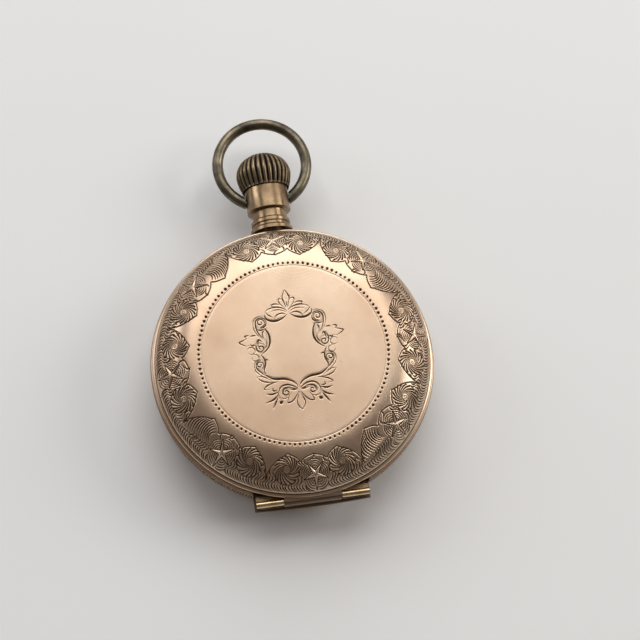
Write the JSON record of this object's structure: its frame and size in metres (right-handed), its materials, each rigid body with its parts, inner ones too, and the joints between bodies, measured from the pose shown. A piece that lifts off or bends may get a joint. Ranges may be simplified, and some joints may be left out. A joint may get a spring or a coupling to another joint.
{
  "type": "fob watch",
  "caption": "Closed hunter-case pocket watch with engraved hinged lids, fluted winding crown, wire bow, enamel dial and a geared lever movement inside.",
  "frame": {"origin": "middle of the back lid's flat outer face, on the case's axis", "axes": "+Z out of the front lid, +Y towards the crown and bow, the lid hinges at -Y"},
  "size_m": [0.0558, 0.0812, 0.0165],
  "materials": {
    "rose_gold": "polished",
    "yellow_gold": "polished",
    "bow_gold": "satin",
    "crown_gold": "satin",
    "brass": "polished",
    "gilt": "satin",
    "steel": "polished",
    "blued_steel": "polished",
    "balance_metal": "polished",
    "ruby": "polished",
    "enamel": "gloss",
    "glass": "gloss"
  },
  "bodies": {
    "back_lid": {"back_lid": "rose_gold"},
    "case": {"case_band": "yellow_gold", "case_joint": "brass", "bezel": "yellow_gold", "crystal": "glass", "pendant": "yellow_gold", "pendant_sleeve": "yellow_gold", "front_hinge_pin": "steel", "back_hinge_pin": "steel", "cuvette_hinge_pin": "brass", "lift_spring": "steel", "lock_spring": "steel", "main_plate": "gilt", "dial": "enamel", "pallet_bridge": "gilt", "hairspring": "blued_steel", "hairspring_stud": "steel", "balance_cock": "gilt", "regulator": "steel", "barrel_bridge": "gilt", "train_bridge": "gilt", "crown_wheel_screw": "steel", "click_screw": "steel", "click_spring": "steel", "jewels": "ruby", "bridge_screws": "steel", "case_screws": "steel"},
    "front_lid": {"front_lid": "rose_gold"},
    "cuvette": {"cuvette": "yellow_gold"},
    "bow": {"bow": "bow_gold"},
    "crown": {"crown": "crown_gold", "stem": "steel"},
    "winding_arbor": {"winding_arbor": "steel", "winding_pinion": "steel"},
    "crown_wheel": {"crown_wheel": "steel"},
    "ratchet": {"ratchet_wheel": "steel", "ratchet_screw": "steel", "barrel_arbor": "steel"},
    "click": {"click": "steel"},
    "barrel": {"barrel_drum": "brass", "barrel_cover": "brass", "mainspring": "steel"},
    "center": {"center_wheel": "brass", "cannon_pinion": "steel", "minute_hand": "blued_steel"},
    "third": {"third_wheel": "brass"},
    "fourth": {"fourth_wheel": "brass", "second_hand": "blued_steel"},
    "escape": {"escape_wheel": "steel"},
    "pallet": {"pallet_fork": "steel", "pallet_stones": "ruby"},
    "balance": {"balance_wheel": "balance_metal", "balance_screws": "balance_metal", "balance_staff": "steel", "roller_table": "steel"},
    "minute_wheel": {"minute_wheel": "brass"},
    "hour_wheel": {"hour_wheel": "brass", "hour_hand": "blued_steel"}
  },
  "joints": [
    {"name": "back_lid_hinge", "type": "hinge", "parent": "back_lid", "child": "case", "pos_m": [0, -0.0275, 0.0082], "axis": [1, 0, 0], "range_deg": [0, 85]},
    {"name": "front_lid_hinge", "type": "hinge", "parent": "case", "child": "front_lid", "pos_m": [0, -0.0275, 0.00965], "axis": [1, 0, 0], "range_deg": [0, 90]},
    {"name": "cuvette_hinge", "type": "hinge", "parent": "case", "child": "cuvette", "pos_m": [0, -0.025, 0.0042], "axis": [1, 0, 0], "range_deg": [-68, 0]},
    {"name": "bow_swing", "type": "hinge", "parent": "case", "child": "bow", "pos_m": [0, 0.035, 0.0076], "axis": [1, 0, 0], "range_deg": [-80, 80]},
    {"name": "crown_turn", "type": "hinge", "parent": "case", "child": "winding_arbor", "pos_m": [0, 0.0164, 0.0076], "axis": [0, 1, 0], "continuous": true},
    {"name": "crown_pull", "type": "slide", "parent": "winding_arbor", "child": "crown", "axis": [0, 1, 0], "range_m": [-0.0005, 0.001]},
    {"name": "crown_wheel_turn", "type": "hinge", "parent": "case", "child": "crown_wheel", "pos_m": [0, 0.0118, 0.003], "axis": [0, 0, 1], "continuous": true},
    {"name": "ratchet_turn", "type": "hinge", "parent": "case", "child": "ratchet", "pos_m": [-0.01055, 0.00283, 0.003], "axis": [0, 0, 1], "continuous": true},
    {"name": "click_pivot", "type": "hinge", "parent": "case", "child": "click", "pos_m": [-0.01417, -0.00713, 0.003], "axis": [0, 0, 1], "range_deg": [0, 6]},
    {"name": "barrel_turn", "type": "hinge", "parent": "case", "child": "barrel", "pos_m": [-0.01055, 0.00283, 0.0069], "axis": [0, 0, 1], "continuous": true},
    {"name": "center_turn", "type": "hinge", "parent": "case", "child": "center", "pos_m": [0, 0, 0.0078], "axis": [0, 0, 1], "continuous": true},
    {"name": "third_turn", "type": "hinge", "parent": "case", "child": "third", "pos_m": [0.0062, 0.00589, 0.00675], "axis": [0, 0, 1], "continuous": true},
    {"name": "fourth_turn", "type": "hinge", "parent": "case", "child": "fourth", "pos_m": [0.01, 0, 0.00725], "axis": [0, 0, 1], "continuous": true},
    {"name": "escape_turn", "type": "hinge", "parent": "case", "child": "escape", "pos_m": [0.01211, -0.00579, 0.00635], "axis": [0, 0, 1], "continuous": true},
    {"name": "pallet_swing", "type": "hinge", "parent": "case", "child": "pallet", "pos_m": [0.0093, -0.0092, 0.00635], "axis": [0, 0, 1], "range_deg": [-5, 5]},
    {"name": "balance_swing", "type": "hinge", "parent": "case", "child": "balance", "pos_m": [0.0046, -0.0124, 0.0045], "axis": [0, 0, 1], "range_deg": [-170, 170]},
    {"name": "minute_wheel_turn", "type": "hinge", "parent": "case", "child": "minute_wheel", "pos_m": [-0.00272, 0.00272, 0.0099], "axis": [0, 0, 1], "continuous": true},
    {"name": "hour_wheel_turn", "type": "hinge", "parent": "case", "child": "hour_wheel", "pos_m": [0, 0, 0.0106], "axis": [0, 0, 1], "continuous": true}
  ],
  "couplings": [
    {"joint": "cuvette_hinge", "follows": "back_lid_hinge", "ratio": -0.8},
    {"joint": "crown_wheel_turn", "follows": "crown_turn", "ratio": 0.33333},
    {"joint": "ratchet_turn", "follows": "crown_turn", "ratio": -0.25641},
    {"joint": "barrel_turn", "follows": "center_turn", "ratio": -0.16667},
    {"joint": "third_turn", "follows": "center_turn", "ratio": -8},
    {"joint": "fourth_turn", "follows": "center_turn", "ratio": 60},
    {"joint": "escape_turn", "follows": "center_turn", "ratio": -600},
    {"joint": "minute_wheel_turn", "follows": "center_turn", "ratio": -0.33333},
    {"joint": "hour_wheel_turn", "follows": "center_turn", "ratio": 0.083333}
  ]
}
